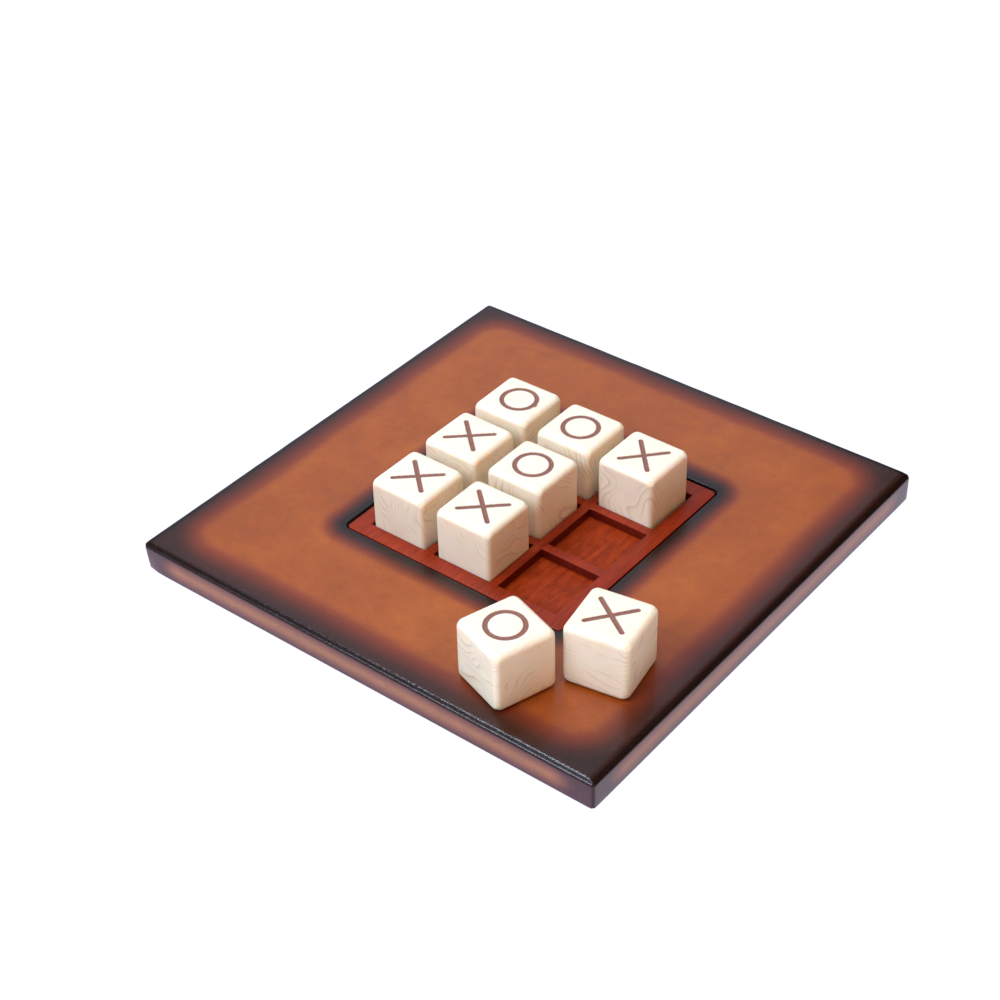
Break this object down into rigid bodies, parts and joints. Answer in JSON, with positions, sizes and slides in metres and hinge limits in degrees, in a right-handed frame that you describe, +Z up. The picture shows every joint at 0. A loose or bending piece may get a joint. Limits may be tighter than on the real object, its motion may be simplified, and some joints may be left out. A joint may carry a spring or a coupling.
{
  "type": "tic-tac-toe game",
  "caption": "Square leather-covered game board with an inlaid wooden tray of square pockets and loose ivory-coloured cubes marked with crosses and rings.",
  "frame": {"origin": "middle of the board's underside", "axes": "+Z up; +X along the near left edge towards the near corner of the picture, +Y from there towards the right corner"},
  "size_m": [0.245, 0.245, 0.0432],
  "materials": {
    "core_panel": "raw fibre panel, hidden under the leather",
    "burnished_leather": "hand-burnished tan leather, dark at the edges, waxed to a soft gloss",
    "suede_lining": "dark brown suede, matt",
    "tray_floor_wood": "red-brown mahogany, oiled",
    "tray_grid_wood": "red-brown mahogany, satin",
    "ivory_resin": "marbled ivory-coloured resin, polished, with rounded edges",
    "brown_fill": "brown colour in the engraved marks, matt"
  },
  "bodies": {
    "board": {"board_core": "core_panel", "leather_cover": "burnished_leather", "underside_lining": "suede_lining", "tray_floor": "tray_floor_wood", "tray_grid": "tray_grid_wood"},
    "x_cube_1": {"cube_x_1": "ivory_resin", "fill_x_1": "brown_fill"},
    "x_cube_2": {"cube_x_2": "ivory_resin", "fill_x_2": "brown_fill"},
    "x_cube_3": {"cube_x_3": "ivory_resin", "fill_x_3": "brown_fill"},
    "x_cube_4": {"cube_x_4": "ivory_resin", "fill_x_4": "brown_fill"},
    "x_cube_5": {"cube_x_5": "ivory_resin", "fill_x_5": "brown_fill"},
    "o_cube_1": {"cube_o_1": "ivory_resin", "fill_o_1": "brown_fill"},
    "o_cube_2": {"cube_o_2": "ivory_resin", "fill_o_2": "brown_fill"},
    "o_cube_3": {"cube_o_3": "ivory_resin", "fill_o_3": "brown_fill"},
    "o_cube_4": {"cube_o_4": "ivory_resin", "fill_o_4": "brown_fill"}
  },
  "joints": [
    {"name": "lift_x_cube_1", "type": "slide", "parent": "board", "child": "x_cube_1", "axis": [0, 0, 1], "range_m": [0, 0.05]},
    {"name": "lift_x_cube_2", "type": "slide", "parent": "board", "child": "x_cube_2", "axis": [0, 0, 1], "range_m": [0, 0.05]},
    {"name": "lift_x_cube_3", "type": "slide", "parent": "board", "child": "x_cube_3", "axis": [0, 0, 1], "range_m": [0, 0.05]},
    {"name": "lift_x_cube_4", "type": "slide", "parent": "board", "child": "x_cube_4", "axis": [0, 0, 1], "range_m": [0, 0.05]},
    {"name": "lift_x_cube_5", "type": "slide", "parent": "board", "child": "x_cube_5", "axis": [0, 0, 1], "range_m": [0, 0.05]},
    {"name": "lift_o_cube_1", "type": "slide", "parent": "board", "child": "o_cube_1", "axis": [0, 0, 1], "range_m": [0, 0.05]},
    {"name": "lift_o_cube_2", "type": "slide", "parent": "board", "child": "o_cube_2", "axis": [0, 0, 1], "range_m": [0, 0.05]},
    {"name": "lift_o_cube_3", "type": "slide", "parent": "board", "child": "o_cube_3", "axis": [0, 0, 1], "range_m": [0, 0.05]},
    {"name": "lift_o_cube_4", "type": "slide", "parent": "board", "child": "o_cube_4", "axis": [0, 0, 1], "range_m": [0, 0.05]}
  ]
}
